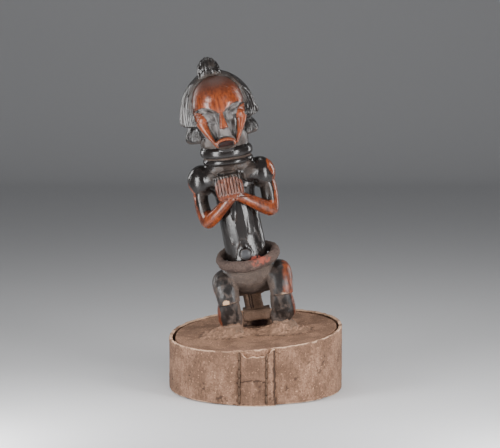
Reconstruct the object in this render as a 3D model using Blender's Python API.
"""Seated guardian figure of carved wood on a round box of sewn bark, as kept over a family's relics in Gabon.

Blender 4.5, metres, +Z up. The figure faces -Y. The origin is the middle of the box's underside.
The carving is drawn in the figure's own frame and in carver's units, 412 of them to its height:
X to the viewer's right, Y to the back, Z up from the lid. It is then set leaning on the slanted lid.
"""

import math

import bmesh
import bpy
from mathutils import Matrix, Vector

# The carved figure
FIGURE_HEIGHT = 0.412  # from the lid to the top of the crest
LEAN_DEG = 10.9  # towards the viewer's left
STOOP_DEG = 3.0  # towards the viewer
HEAD_TURN_DEG = 5.0  # the head looks a little to the viewer's right
FIGURE_X = 0.0085  # where the figure's axis meets the lid
FIGURE_Y = 0.0

# The bark box
BAND_RADIUS = 0.1285  # outside
BARK_THICKNESS = 0.0045
BAND_HEIGHT = 0.0885  # of the rim, over the middle of the box
RIM_RISE_X = 0.068  # the rim climbs to the viewer's right
RIM_RISE_Y = 0.057  # and to the back
LAP_START_DEG = -15.0  # where the bark strip's inner end lies, from the front
LAP_END_DEG = 13.2  # where its outer end lies on top
LAP_RAMP_DEG = 26.0  # the inner layer comes back out over this much
LAYER_GAP = 0.0005  # between the two layers of bark
RIM_CHIP_DEPTH = 0.0105  # the outer layer is broken down by this much between the seams
FOOT_WEAR = 0.0022  # the worn lower edge stands off the ground by this much

# The two wooden discs in the bark
LID_THICKNESS = 0.012
LID_DROP = 0.0020  # the lid lies this far under the rim
BASE_THICKNESS = 0.010
DISC_CLEARANCE = 0.0006

# The sewing
CORD_RADIUS = 0.0012
HOLE_CLEARANCE = 0.0004
SEAM_DEGS = {"seam_cord_left": -10.6, "seam_cord_right": 6.7}
SEAM_FOOT = 0.0045  # the lowest hole
STITCH_LONG = 0.0095  # the part of a stitch that shows
STITCH_SHORT = 0.0030  # the step between stitches, inside
STITCHES = 6

# The belt ring
RING_SIDE_RADIUS = 0.0072  # its section is taller than it is wide
RING_UPRIGHT_RADIUS = 0.0090
RING_LOOSENESS = 0.0034  # between the ring and the waist
RING_DROOP_DEG = 11.0  # the front hangs lower

TOUCH_GAP = 0.0003  # pieces that touch keep this much between them
TENON_LENGTH = 0.016  # of the peg under the seat block, down through the lid
TENON_CLEARANCE = 0.0010
HEAD_VOXEL = 0.0012
BODY_VOXEL = 0.0016
HEAD_TRIANGLES = 2450
BODY_TRIANGLES = 2350

UNITS_TALL = 412.0
UNIT = FIGURE_HEIGHT / UNITS_TALL
SIDES = (-1, 1)


def rim_height(x, y):
    """Height of the unbroken rim's plane over a place on the ground."""
    return BAND_HEIGHT + RIM_RISE_X * x + RIM_RISE_Y * y


def lid_top(x, y):
    return rim_height(x, y) - LID_DROP


FIGURE_PLACE = (
    Matrix.Translation((FIGURE_X, FIGURE_Y, lid_top(FIGURE_X, FIGURE_Y)))
    @ Matrix.Rotation(math.radians(-LEAN_DEG), 4, "Y")
    @ Matrix.Rotation(math.radians(STOOP_DEG), 4, "X")
    @ Matrix.Scale(UNIT, 4)
)
NECK_Y = 12.0
HEAD_TURN = (
    Matrix.Translation((0, NECK_Y, 0))
    @ Matrix.Rotation(math.radians(HEAD_TURN_DEG), 4, "Z")
    @ Matrix.Translation((0, -NECK_Y, 0))
)


def clear_scene():
    for obj in list(bpy.data.objects):
        bpy.data.objects.remove(obj, do_unlink=True)


def material(name, colour, roughness):
    mat = bpy.data.materials.new(name)
    mat.use_nodes = True
    shader = mat.node_tree.nodes["Principled BSDF"]
    shader.inputs["Base Color"].default_value = (*colour, 1.0)
    shader.inputs["Roughness"].default_value = roughness
    mat.diffuse_color = (*colour, 1.0)
    return mat


def object_of(name, bm, mat=None):
    """An object at the origin, holding this bmesh."""
    bmesh.ops.recalc_face_normals(bm, faces=bm.faces)
    mesh = bpy.data.meshes.new(name)
    bm.to_mesh(mesh)
    bm.free()
    obj = bpy.data.objects.new(name, mesh)
    bpy.context.scene.collection.objects.link(obj)
    if mat:
        mesh.materials.append(mat)
    return obj


def made(name, *steps):
    """An object out of functions that each draw something into one bmesh."""
    bm = bmesh.new()
    for step in steps:
        step(bm)
    return object_of(name, bm)


def add_modifier(obj, kind, **settings):
    modifier = obj.modifiers.new(kind.title(), kind)
    for key, value in settings.items():
        setattr(modifier, key, value)


def apply_modifiers(obj):
    bpy.context.view_layer.update()
    graph = bpy.context.evaluated_depsgraph_get()
    mesh = bpy.data.meshes.new_from_object(obj.evaluated_get(graph))
    obj.modifiers.clear()
    obj.data = mesh


def boolean(obj, other, operation):
    """Cuts the helper object from this one, or joins it on, and clears the helper away."""
    add_modifier(obj, "BOOLEAN", operation=operation, object=other)
    apply_modifiers(obj)
    bpy.data.objects.remove(other, do_unlink=True)


def cut(obj, cutter):
    boolean(obj, cutter, "DIFFERENCE")


def fuse(obj, voxel, smoothing, triangles=0):
    """Turns overlapping skins into one, softened as by handling."""
    add_modifier(obj, "REMESH", mode="VOXEL", voxel_size=voxel)
    if smoothing:
        add_modifier(obj, "SMOOTH", factor=0.5, iterations=smoothing)
    apply_modifiers(obj)
    if triangles:
        add_modifier(obj, "DECIMATE", ratio=triangles / (2 * len(obj.data.polygons)))
        apply_modifiers(obj)


def join(objects):
    """Moves all the skins into the first object, still overlapping."""
    bm = bmesh.new()
    for obj in objects:
        bm.from_mesh(obj.data)
    bm.to_mesh(objects[0].data)
    bm.free()
    for obj in objects[1:]:
        bpy.data.objects.remove(obj, do_unlink=True)
    return objects[0]


def add_ring(bm, centre, tangent, depth_axis, half_width, half_depth, sides, square):
    """A loop of points round a centre: a superellipse, where square 2 is round and 4 is nearly a box."""
    depth = depth_axis - tangent * depth_axis.dot(tangent)
    depth.normalize()
    side = depth.cross(tangent)
    points = []
    for i in range(sides):
        turn = 2 * math.pi * (i + 0.5) / sides
        c, s = math.cos(turn), math.sin(turn)
        across = half_width * math.copysign(abs(c) ** (2 / square), c)
        along = half_depth * math.copysign(abs(s) ** (2 / square), s)
        points.append(bm.verts.new(centre + side * across + depth * along))
    return points


def bridge(bm, rings):
    """Skins a row of loops and closes both ends."""
    for low, high in zip(rings, rings[1:]):
        for i in range(len(low)):
            j = (i + 1) % len(low)
            bm.faces.new((low[i], low[j], high[j], high[i]))
    bm.faces.new(rings[0][::-1])
    bm.faces.new(rings[-1])


def loft(bm, stations, sides=20, square=2.0, depth_axis=(0, 1, 0), round_ends=(0.0, 0.0)):
    """A closed skin through stations of (x, y, z, half width, half depth).

    round_ends gives how far each end swells past its last station, where 0 is a flat end.
    """
    depth_axis = Vector(depth_axis)
    centres = [Vector(s[:3]) for s in stations]
    last = len(stations) - 1
    dome = (0.95, 0.75, 0.45)  # sines of the steps of a rounded end
    rings = []
    for i, station in enumerate(stations):
        tangent = (centres[min(i + 1, last)] - centres[max(i - 1, 0)]).normalized()
        steps = [(0.0, 1.0)]
        if i == 0 and round_ends[0]:
            steps = [(-round_ends[0] * s, math.sqrt(1 - s * s)) for s in dome] + steps
        if i == last and round_ends[1]:
            steps = steps + [(round_ends[1] * s, math.sqrt(1 - s * s)) for s in reversed(dome)]
        for shift, scale in steps:
            place = centres[i] + tangent * shift
            width, depth = station[3] * scale, station[4] * scale
            rings.append(add_ring(bm, place, tangent, depth_axis, width, depth, sides, square))
    bridge(bm, rings)


def ball(bm, centre, radii, tilt=None):
    """An ellipsoid, tilted about its own centre."""
    place = Matrix.Translation(centre) @ (tilt or Matrix.Identity(4)) @ Matrix.Diagonal((*radii, 1.0))
    bmesh.ops.create_uvsphere(bm, u_segments=24, v_segments=16, radius=1.0, matrix=place)


def tilt_about(axis, degrees):
    return Matrix.Rotation(math.radians(degrees), 4, axis)


def prism(bm, outline, low, high):
    """An outline in plan, drawn up between two heights."""
    rings = [[bm.verts.new((x, y, z)) for x, y in outline] for z in (low, high)]
    bridge(bm, rings)


def groove(bm, places, outward, width, depth, lift=1.5):
    """A V-shaped cutter along a row of places on a surface. outward is a function of the place."""
    places = [Vector(p) for p in places]
    last = len(places) - 1
    rings = []
    for i, place in enumerate(places):
        along = (places[min(i + 1, last)] - places[max(i - 1, 0)]).normalized()
        out = outward(place).normalized()
        side = along.cross(out).normalized()
        half = width / 2 * (depth + lift) / depth
        corners = (place + out * lift + side * half, place + out * lift - side * half, place - out * depth)
        rings.append([bm.verts.new(corner) for corner in corners])
    bridge(bm, rings)


# The head. It is drawn looking straight ahead, and then turned.


def skull(bm):
    """The domed brow, and the nape side of the head below it."""
    ball(bm, (0, 6, 347), (38, 43, 38.5))
    loft(bm, [(0, 14, 300, 33, 27), (0, 10, 320, 36, 34), (0, 7, 340, 38.5, 42)], sides=28, square=2.4)


def under_brows(bm):
    """What is cut away below the brows: two arches that meet over the nose, the whole face wide."""
    arches = [(-60, 326), (-39, 339.5), (-33, 343), (-26, 345), (-17, 343), (-8, 337.3), (-3, 332.6), (0, 330)]
    arches += [(-x, z) for x, z in reversed(arches[:-1])] + [(60, 240), (-60, 240)]
    rings = [[bm.verts.new((x, y, z + 0.1 * (-36 - y))) for x, z in arches] for y in (-90, -26)]
    bridge(bm, rings)


def lower_face(bm):
    """The face below the brows: a wedge that narrows to the mouth, hollow down both sides of the nose."""
    stations = [
        (0, 3, 279, 14, 30),
        (0, 2, 288, 18, 33),
        (0, 2, 300, 25.5, 31.5),
        (0, 3, 312, 31.5, 31),
        (0, 4, 325, 36.5, 31),
        (0, 4, 338, 37.5, 31),
    ]
    loft(bm, stations, sides=28, square=3.0)


def hollows(bm):
    for side in SIDES:
        stations = [
            (side * 14, -37, 331, 9, 13),
            (side * 13, -36, 314, 8, 12),
            (side * 11, -39, 297, 5, 11),
        ]
        loft(bm, stations, round_ends=(6, 6))


def nose(bm):
    loft(bm, [(0, -26, 334, 2.6, 8), (0, -31, 321, 4.2, 9), (0, -33, 310.5, 6.8, 9.5)], sides=12, square=3)
    loft(bm, [(0, -26, 312, 7.5, 7.5), (0, -28.5, 301, 9.5, 8), (0, -33, 290, 12, 8)], sides=16)


def cheeks(bm):
    """Each bulging eye tapers into a cheek that runs down to the corner of the mouth."""
    for side in SIDES:
        ball(bm, (side * 24, -21.5, 326.5), (11, 8, 8.2), tilt_about("Y", side * 14))
        stations = [
            (side * 28.5, -17, 323, 9.5, 9.5),
            (side * 26.5, -19, 314, 7.4, 10),
            (side * 23, -22.5, 304, 5.4, 9.5),
            (side * 17.5, -27, 293, 3.6, 9),
            (side * 13.5, -29, 286, 3, 8),
        ]
        loft(bm, stations)


def muzzle(bm):
    """The mouth juts as far forward as the brow."""
    stations = [(0, -18, 291.5, 13, 9), (-1, -34, 290, 14.6, 9.2), (-1.6, -41, 289, 14.4, 8.6)]
    loft(bm, stations, depth_axis=(0, 0, 1), sides=28, square=2.3, round_ends=(0, 2))


def cap_of_hair(bm):
    """The hair: a close cap that flares into a wing on each side, undercut below."""
    stations = [
        (0, 22, 313, 43, 34),
        (0, 22, 321, 58.5, 40),
        (0, 21, 335, 56, 42),
        (0, 20, 348, 52.5, 44),
        (0, 18, 362, 46, 44),
        (0, 16, 374, 36.5, 39),
        (0, 15, 382, 27, 30),
        (0, 14, 388, 14, 18),
    ]
    loft(bm, stations, sides=36, square=2.1)


def face_opening(bm):
    """The hair ends along this front, which slopes back towards the wings."""
    front, edge, wide, back = -3, 37, 100, 34
    outline = [(-wide, -90), (wide, -90), (wide, back), (edge, front), (-edge, front), (-wide, back)]
    prism(bm, outline, 250, 430)


def nape_guard(bm):
    """A curtain of hair round the back, flaring out over the shoulders."""
    stations = [
        (0, 31, 328, 40, 24),
        (0, 32, 314, 46, 25),
        (0, 33, 303, 53, 27),
        (0, 33, 294, 54.5, 28),
        (0, 33, 289.5, 51, 26),
    ]
    loft(bm, stations, sides=32, square=2.4)


CREST_MIDDLE = Vector((-3, 15, 347))
CREST_REACH = 64.5  # of the middle braid from the crest's middle
CREST_CROWN = 18.0  # the crest's top is half an ellipse, this tall
CREST_HALF_WIDTH = 17.4
BRAIDS = 6
BRAID_WIDTH = 5.6
BRAID_RELIEF = 1.3


def crest_place(off, degrees):
    """A place on top of the crest: off to the side, and so many degrees back from straight up."""
    turn = math.radians(degrees)
    fall = 0.06 * min(0.0, degrees + 6) ** 2
    crown = CREST_CROWN * (1 - math.sqrt(1 - (off / CREST_HALF_WIDTH) ** 2))
    reach = CREST_REACH * (1 - 0.0013 * max(0.0, degrees)) - fall - crown
    return CREST_MIDDLE + Vector((off, reach * math.sin(turn), reach * math.cos(turn)))


def crest(bm):
    """A ridge of braids from over the brow to the nape, side by side like cords, with a steep front."""
    count = 2 * BRAIDS + 1
    rings = []
    for degrees in (-24, -21, -17, -12, -6, 4, 18, 36, 56, 76, 96, 116, 132):
        turn = math.radians(degrees)
        out = Vector((0, math.sin(turn), math.cos(turn)))
        ring = []
        for i in range(count):
            off = (i - BRAIDS) * BRAID_WIDTH / 2
            relief = BRAID_RELIEF / 2 if i % 2 else -BRAID_RELIEF / 2
            ring.append(bm.verts.new(crest_place(off, degrees) + out * relief))
        for off in (BRAIDS * BRAID_WIDTH / 2 - 1, 1 - BRAIDS * BRAID_WIDTH / 2):
            ring.append(bm.verts.new(CREST_MIDDLE + Vector((off, 0, 0)) + out * 26))
        rings.append(ring)
    bridge(bm, rings)


def mouth(bm):
    """The open mouth, higher above its corners than below them."""
    outline = []
    for k in range(12):
        a = 2 * math.pi * k / 12
        tall = 6.2 if math.sin(a) > 0 else 5.0
        outline.append((-12.4 * math.cos(a), 287.2 + tall * math.sin(a)))
    rings = [[bm.verts.new((x - 1.6, y, z)) for x, z in outline] for y in (-70, -36)]
    bridge(bm, rings)


def build_head():
    """The face is cut in under the brows and its features laid on after, so that the brows stay sharp."""
    dome = made("head", skull)
    fuse(dome, 1.2, 1)
    cut(dome, made("under_brows", under_brows))
    mask = made("mask", lower_face)
    fuse(mask, 1.2, 1)
    sunk = made("hollows", hollows)
    fuse(sunk, 1.5, 0)
    cut(mask, sunk)
    hair = made("hair", cap_of_hair)
    cut(hair, made("face_opening", face_opening))
    rest = made("features", nose, cheeks, muzzle, nape_guard)
    head = join([dome, mask, hair, rest])
    fuse(head, HEAD_VOXEL / UNIT, 1, HEAD_TRIANGLES)
    cut(head, made("mouth", mouth))
    boolean(head, made("crest", crest), "UNION")
    head.data.transform(HEAD_TURN)
    return head


# The body


def torso(bm):
    """Pelvis, waist, barrel and shoulder girdle, up into the neck."""
    stations = [
        (0, 41, 52, 20, 11),
        (0, 37, 60, 27, 17),
        (0, 31, 70, 34, 25),
        (0, 24, 81, 40, 33.5),
        (0, 19, 92, 42, 37),
        (0, 18, 99, 39, 34),
        (0, 17, 106, 30.5, 28),
        (0, 17, 118, 30.5, 27),
        (0, 15, 160, 30, 26.5),
        (0, 14, 190, 29.5, 26),
        (0, 13, 208, 30, 25),
        (0, 13, 222, 41, 25),
        (0, 13, 238, 48, 25),
        (0, 13, 247, 45, 27),
        (0, 12, 254, 38, 30),
        (0, 12, 262, 33.5, 31),
        (0, 12, 290, 35.5, 32),
        (0, 14, 300, 33, 30),
    ]
    loft(bm, stations, sides=16)


def collar(bm, y, z, radius, half):
    """A ring of the neck. It slopes a little, down to the viewer's right."""
    slope = math.tan(math.radians(4.5))
    stations = []
    for share, swell in ((-1, -4), (-0.7, -1), (0, 0.6), (0.7, -0.8), (1, -3.8)):
        stations.append((slope * share * half, y, z + share * half, radius + swell, radius - 1 + swell))
    loft(bm, stations, sides=28)


def upper_collar(bm):
    collar(bm, 11, 272.3, 38, 8.0)


def lower_collar(bm):
    collar(bm, 12, 258.8, 36.5, 5.2)


def arm(bm, side):
    """Shoulder cap over a thinner upper arm, bent elbow, and forearm up to the wrist at the breast."""
    ball(bm, (side * 43.5, 12, 233 - 1.5 * side), (21.5, 22, 23.5), tilt_about("Y", side * -8))
    ball(bm, (side * 25, 6, 236), (24, 20, 17))
    swell = side * 0.8
    lift = 2 + 2 * side
    elbow = 45.7 + side * 1.2
    upper = [
        (side * 47, 12, 228, 12, 14),
        (side * 50, 11, 211, 11.5 + swell, 14.5),
        (side * 50, 5, 193, 11.5 + swell, 13),
        (side * (elbow + 1), -2, 177, 12, 12),
    ]
    loft(bm, upper, round_ends=(0, 10))
    fore = [
        (side * elbow, -4, 176 + lift / 2, 11, 12),
        (side * 38, -11, 180.5 + lift, 10.2, 11),
        (side * 24, -21, 192 + lift, 8.8, 9.5),
        (side * 10, -29, 204 + lift / 2, 7.5, 8),
        (side * 3, -31, 210, 7, 7.5),
    ]
    loft(bm, fore, round_ends=(10, 0))


FINGERS = 9
FINGER_WIDTH = 4.6
HAND_X = -5.0  # the joined hands lie a little to the viewer's left


def hands(bm):
    """Two hands laid together. The fingers are parted by grooves afterwards."""
    half = FINGERS * FINGER_WIDTH / 2
    front = [
        (HAND_X + 0.6, -25, 207, half - 2.5, 11.5),
        (HAND_X + 0.3, -25.5, 216, half - 1, 12),
        (HAND_X, -24, 241, half, 10.5),
    ]
    loft(bm, front, sides=28, square=5, round_ends=(0, 1.5))
    loft(bm, [(HAND_X + 1, -17, 230, half - 4, 9), (HAND_X + 1, -15, 243, half - 6, 6)], square=3, round_ends=(0, 4))


def finger_grooves(bm):
    for k in range(FINGERS - 1):
        off = (k - (FINGERS - 2) / 2) * FINGER_WIDTH
        places = [
            (HAND_X + 0.4 + off * 0.93, -36.8, 210),
            (HAND_X + off * 0.97, -37.0, 220),
            (HAND_X + off, -35.0, 238),
            (HAND_X + off, -32.5, 245),
        ]
        groove(bm, places, lambda p: Vector((0, -1, 0)), 2.1, 1.7)


def navel(bm):
    """A blunt peg of a navel, flat at its end."""
    loft(bm, [(-0.7, 0, 121.5, 8.2, 8.2), (-0.7, -18, 119.5, 8.4, 8.4)], depth_axis=(0, 0, 1), sides=24)


SHIN_X = {-1: (-39, -40, -41.5, -41, -41.5), 1: (38, 39, 38.5, 33, 33)}
FOOT_X = {-1: -43.5, 1: 36.5}
FOOT_RISE = {-1: 4.6, 1: -4.2}  # of the lid under each foot


def leg(bm, side):
    """Thigh, knee that overhangs like a ledge, swollen shin and block of an ankle."""
    x = 1.2
    thigh = [
        (x + side * 31, 33, 77, 18, 21),
        (x + side * 37, 16, 79, 17.5, 21.5),
        (x + side * 40, 3, 75, 17, 20),
        (x + side * 40, -6, 65, 15, 17.5),
        (x + side * 39.5, -8, 50, 13, 16.5),
    ]
    loft(bm, thigh, square=2.5, depth_axis=(1, 0, 0), round_ends=(16, 0))
    xs = SHIN_X[side]
    shin = [
        (xs[0], -2, 66, 13, 12),
        (xs[1], -3, 49, 15.5, 14),
        (xs[2], -1, 38, 17.5, 14.5),
        (xs[2], 2, 26, 18, 15),
        (xs[3], 3, 13, 15, 12),
        (xs[4], 3, -14, 15.5, 12),
    ]
    loft(bm, shin, square=3.0)


def foot(bm, side):
    """A low instep and five blunt toes. Both run on under the lid's plane, which trims them."""
    x, rise = FOOT_X[side], FOOT_RISE[side]
    slab = [(x * 0.96, 12, rise - 1, 16, 14), (x, -6, rise - 1, 18.5, 12.5), (x, -19, rise - 3, 19, 10)]
    loft(bm, slab, depth_axis=(0, 0, 1), square=2.6, round_ends=(4, 4))
    for toe in range(5):
        across = (toe - 2) * 7.9
        reach = -23 + 0.012 * across * across
        ball(bm, (x + across, reach, rise - 2), (4.3, 6, 9))


def seat(bm):
    """Buttocks, the post under them, and the wide block that the post stands in, undercut in front."""
    for side in SIDES:
        ball(bm, (side * 19, 42, 68), (23, 17, 21))
    loft(bm, [(-4.5, 37, 62, 13, 10), (-4.5, 37, 20, 13.5, 10)], square=5)
    block = [(-23, 34, 20, 15.5, 9.6), (18, 34, 16, 15.5, 9.8)]
    loft(bm, block, depth_axis=(0, 0, 1), square=3.6)
    loft(bm, [(-19, 39, 8, 10, 9), (14, 39, 5, 10, 9)], depth_axis=(0, 0, 1), square=3.6)


def build_body():
    parts = [torso, hands, seat]
    for side in SIDES:
        for limb in (arm, leg, foot):
            parts.append(lambda bm, limb=limb, side=side: limb(bm, side))
    body = made("body", *parts)
    fuse(body, BODY_VOXEL / UNIT, 2, BODY_TRIANGLES)
    for piece in (navel, upper_collar, lower_collar):
        boolean(body, made(piece.__name__, piece), "UNION")
    cut(body, made("finger_grooves", finger_grooves))
    return body


def build_figure(mat):
    figure = build_body()
    figure.name = "carved_figure"
    boolean(figure, build_head(), "UNION")
    figure.data.transform(FIGURE_PLACE)
    cut(figure, ring_object("ring_seat", TOUCH_GAP))
    cut(figure, under_lid_block())
    boolean(figure, tenon_object("tenon", 0.0), "UNION")
    figure.data.materials.clear()
    figure.data.materials.append(mat)
    return figure


def under_lid_block():
    """All that lies below the soles: the lid's slanted plane, raised by the touch gap."""
    half = 2 * BAND_RADIUS
    bm = bmesh.new()
    bmesh.ops.create_cube(bm, size=2 * half)
    for v in bm.verts:
        if v.co.z > 0:
            v.co.z = lid_top(v.co.x, v.co.y) + TOUCH_GAP
        else:
            v.co.z = -half
    return object_of("under_lid_block", bm)


TENON_HALF_WIDTH, TENON_HALF_DEPTH = 9.0, 7.0
TENON_Y = 35.0


def tenon_object(name, clearance):
    """The peg under the seat block. With a clearance it is the hole's cutter, and runs on below."""
    grow = clearance / UNIT
    foot_end = -(TENON_LENGTH / UNIT) - (20 if clearance else 0)
    size = (TENON_HALF_WIDTH + grow, TENON_HALF_DEPTH + grow)
    bm = bmesh.new()
    loft(bm, [(0, TENON_Y, 10, *size), (0, TENON_Y, foot_end, *size)], sides=12, square=4)
    tenon = object_of(name, bm)
    tenon.data.transform(FIGURE_PLACE)
    return tenon


WAIST_HALF_WIDTH, WAIST_HALF_DEPTH = 30.5, 28.0
RING_X, RING_Y, RING_Z = 1.0, 17.0, 110.3


def ring_object(name, swell, mat=None):
    """A ring that hangs round the waist and rests on the hips. swell makes the seat that it lies in."""
    wide, tall = (RING_SIDE_RADIUS + swell) / UNIT, (RING_UPRIGHT_RADIUS + swell) / UNIT
    clear = (RING_LOOSENESS + RING_SIDE_RADIUS) / UNIT
    across, along = WAIST_HALF_WIDTH + clear, WAIST_HALF_DEPTH + clear
    turns, sides = 30, 10
    bm = bmesh.new()
    rings = []
    for i in range(turns):
        a = 2 * math.pi * i / turns
        centre = Vector((across * math.cos(a), along * math.sin(a), 0))
        outward = Vector((math.cos(a), math.sin(a), 0))
        ring = []
        for k in range(sides):
            b = 2 * math.pi * k / sides
            ring.append(bm.verts.new(centre + outward * wide * math.cos(b) + Vector((0, 0, tall * math.sin(b)))))
        rings.append(ring)
    for i in range(turns):
        for k in range(sides):
            n, m = (i + 1) % turns, (k + 1) % sides
            bm.faces.new((rings[i][k], rings[n][k], rings[n][m], rings[i][m]))
    ring = object_of(name, bm, mat)
    place = Matrix.Translation((RING_X, RING_Y, RING_Z)) @ tilt_about("X", RING_DROOP_DEG)
    ring.data.transform(FIGURE_PLACE @ place)
    return ring


# The box


def on_box(radius, degrees, z):
    """A place on the box, by its angle from the front towards the viewer's right."""
    a = math.radians(degrees)
    return Vector((radius * math.sin(a), -radius * math.cos(a), z))


def lap_inset(degrees):
    """How far the strip's outside lies inside the band's, at an angle along the strip."""
    step = BARK_THICKNESS + LAYER_GAP
    past = (degrees - LAP_END_DEG - 3) / LAP_RAMP_DEG
    past = min(1.0, max(0.0, past))
    return step * (1 - past * past * (3 - 2 * past))


def chip_at(degrees):
    """How much of the outer layer's rim is broken away, at an angle along the strip."""
    middle, half = 360.5, 10.5
    off = abs(degrees - middle) / half
    return RIM_CHIP_DEPTH * max(0.0, min(1.0, 4 * (1 - off)))


def wear_at(degrees):
    """The lower edge is worn off the ground, except at the lap and in three other places."""
    if degrees > LAP_START_DEG + 363:
        return 0.0
    return FOOT_WEAR * max(0.0, math.sin(math.radians(1.5 * degrees))) ** 0.5


def build_band(mat):
    """One strip of bark, bent round and lapped over its own start at the front."""
    bm = bmesh.new()
    columns = []
    span = LAP_END_DEG + 360 - LAP_START_DEG
    count = int(span / 4.5)
    for i in range(count + 1):
        degrees = LAP_START_DEG + span * i / count
        outside = BAND_RADIUS - lap_inset(degrees)
        inside = outside - BARK_THICKNESS
        outer, inner = on_box(outside, degrees, 0), on_box(inside, degrees, 0)
        low = wear_at(degrees)
        top = rim_height(outer.x, outer.y) - chip_at(degrees)
        corners = [(inner, low), (outer, low), (outer, top), (inner, top)]
        columns.append([bm.verts.new((p.x, p.y, z)) for p, z in corners])
    bridge(bm, columns)
    band = object_of("bark_band", bm, mat)
    for degrees in SEAM_DEGS.values():
        for z in hole_heights():
            cut(band, awl_hole(degrees, z))
    return band


def hole_heights():
    """Holes come in pairs: a stitch shows from the first of a pair to the second."""
    pitch = STITCH_LONG + STITCH_SHORT
    return [SEAM_FOOT + k * pitch + part for k in range(STITCHES) for part in (0, STITCH_LONG)]


def awl_hole(degrees, z):
    radius = CORD_RADIUS + HOLE_CLEARANCE
    middle = BAND_RADIUS - BARK_THICKNESS
    turn = Matrix.Rotation(math.radians(degrees), 4, "Z") @ Matrix.Rotation(math.radians(90), 4, "X")
    bm = bmesh.new()
    bmesh.ops.create_cone(
        bm,
        cap_ends=True,
        segments=4,
        radius1=radius,
        radius2=radius,
        depth=6 * BARK_THICKNESS,
        matrix=Matrix.Translation(on_box(middle, degrees, z)) @ turn,
    )
    return object_of("awl_hole", bm)


def seam_radii():
    """Where the cord runs outside the two layers, and inside them."""
    clear = CORD_RADIUS + TOUCH_GAP
    return BAND_RADIUS + clear, BAND_RADIUS - 2 * BARK_THICKNESS - LAYER_GAP - clear


def build_seam_cord(name, degrees, mat):
    """One cord, out through a hole, up, and back in through the next."""
    outside, inside = seam_radii()
    places = []
    for k, z in enumerate(hole_heights()):
        first, second = (inside, outside) if k % 2 == 0 else (outside, inside)
        places += [on_box(first, degrees, z), on_box(second, degrees, z)]
    places = places[1:-1]
    curve = bpy.data.curves.new(name, "CURVE")
    curve.dimensions = "3D"
    curve.bevel_depth = CORD_RADIUS
    curve.bevel_resolution = 0
    curve.use_fill_caps = True
    spline = curve.splines.new("POLY")
    spline.points.add(len(places) - 1)
    for point, place in zip(spline.points, places):
        point.co = (*place, 1.0)
    curve.materials.append(mat)
    cord = bpy.data.objects.new(name, curve)
    bpy.context.scene.collection.objects.link(cord)
    return cord


def build_disc(name, low, high, mat):
    """A wooden disc in the bark, between two heights given as functions of place."""
    lap_step = BARK_THICKNESS + LAYER_GAP
    radius = BAND_RADIUS - BARK_THICKNESS - lap_step / 2 - DISC_CLEARANCE
    bm = bmesh.new()
    bmesh.ops.create_cone(bm, cap_ends=True, segments=64, radius1=radius, radius2=radius, depth=1.0)
    for v in bm.verts:
        v.co.y += lap_step / 2
        height = high if v.co.z > 0 else low
        v.co.z = height(v.co.x, v.co.y)
    disc = object_of(name, bm, mat)
    for degrees in SEAM_DEGS.values():
        cut(disc, cord_notch(degrees))
    return disc


def cord_notch(degrees):
    """Room at a disc's edge for the sewing that passes inside the bark."""
    bm = bmesh.new()
    bmesh.ops.create_cone(
        bm,
        cap_ends=True,
        segments=10,
        radius1=2.5 * CORD_RADIUS,
        radius2=2.5 * CORD_RADIUS,
        depth=4 * BAND_HEIGHT,
        matrix=Matrix.Translation(on_box(seam_radii()[1], degrees, 0)),
    )
    return object_of("cord_notch", bm)


def build_lid(mat):
    lid = build_disc("lid", lambda x, y: lid_top(x, y) - LID_THICKNESS, lid_top, mat)
    cut(lid, tenon_object("tenon_hole", TENON_CLEARANCE))
    return lid


def shade(obj):
    """Rounded work is smooth, and its real edges stay sharp."""
    obj.data.shade_smooth()
    obj.data.set_sharp_from_angle(angle=math.radians(35))


def main():
    clear_scene()
    wood = material("dark_carved_wood", (0.045, 0.028, 0.022), 0.28)
    bark = material("dusty_bark", (0.33, 0.23, 0.17), 0.9)
    plank = material("dusty_plank", (0.30, 0.22, 0.165), 0.9)
    vine = material("sewing_vine", (0.26, 0.17, 0.11), 0.8)
    belt = material("crusted_belt", (0.20, 0.135, 0.105), 0.85)
    shade(build_figure(wood))
    shade(ring_object("waist_ring", 0.0, belt))
    shade(build_band(bark))
    shade(build_lid(plank))
    shade(build_disc("box_bottom", lambda x, y: 0.0, lambda x, y: BASE_THICKNESS, plank))
    for name, degrees in SEAM_DEGS.items():
        build_seam_cord(name, degrees, vine)


main()
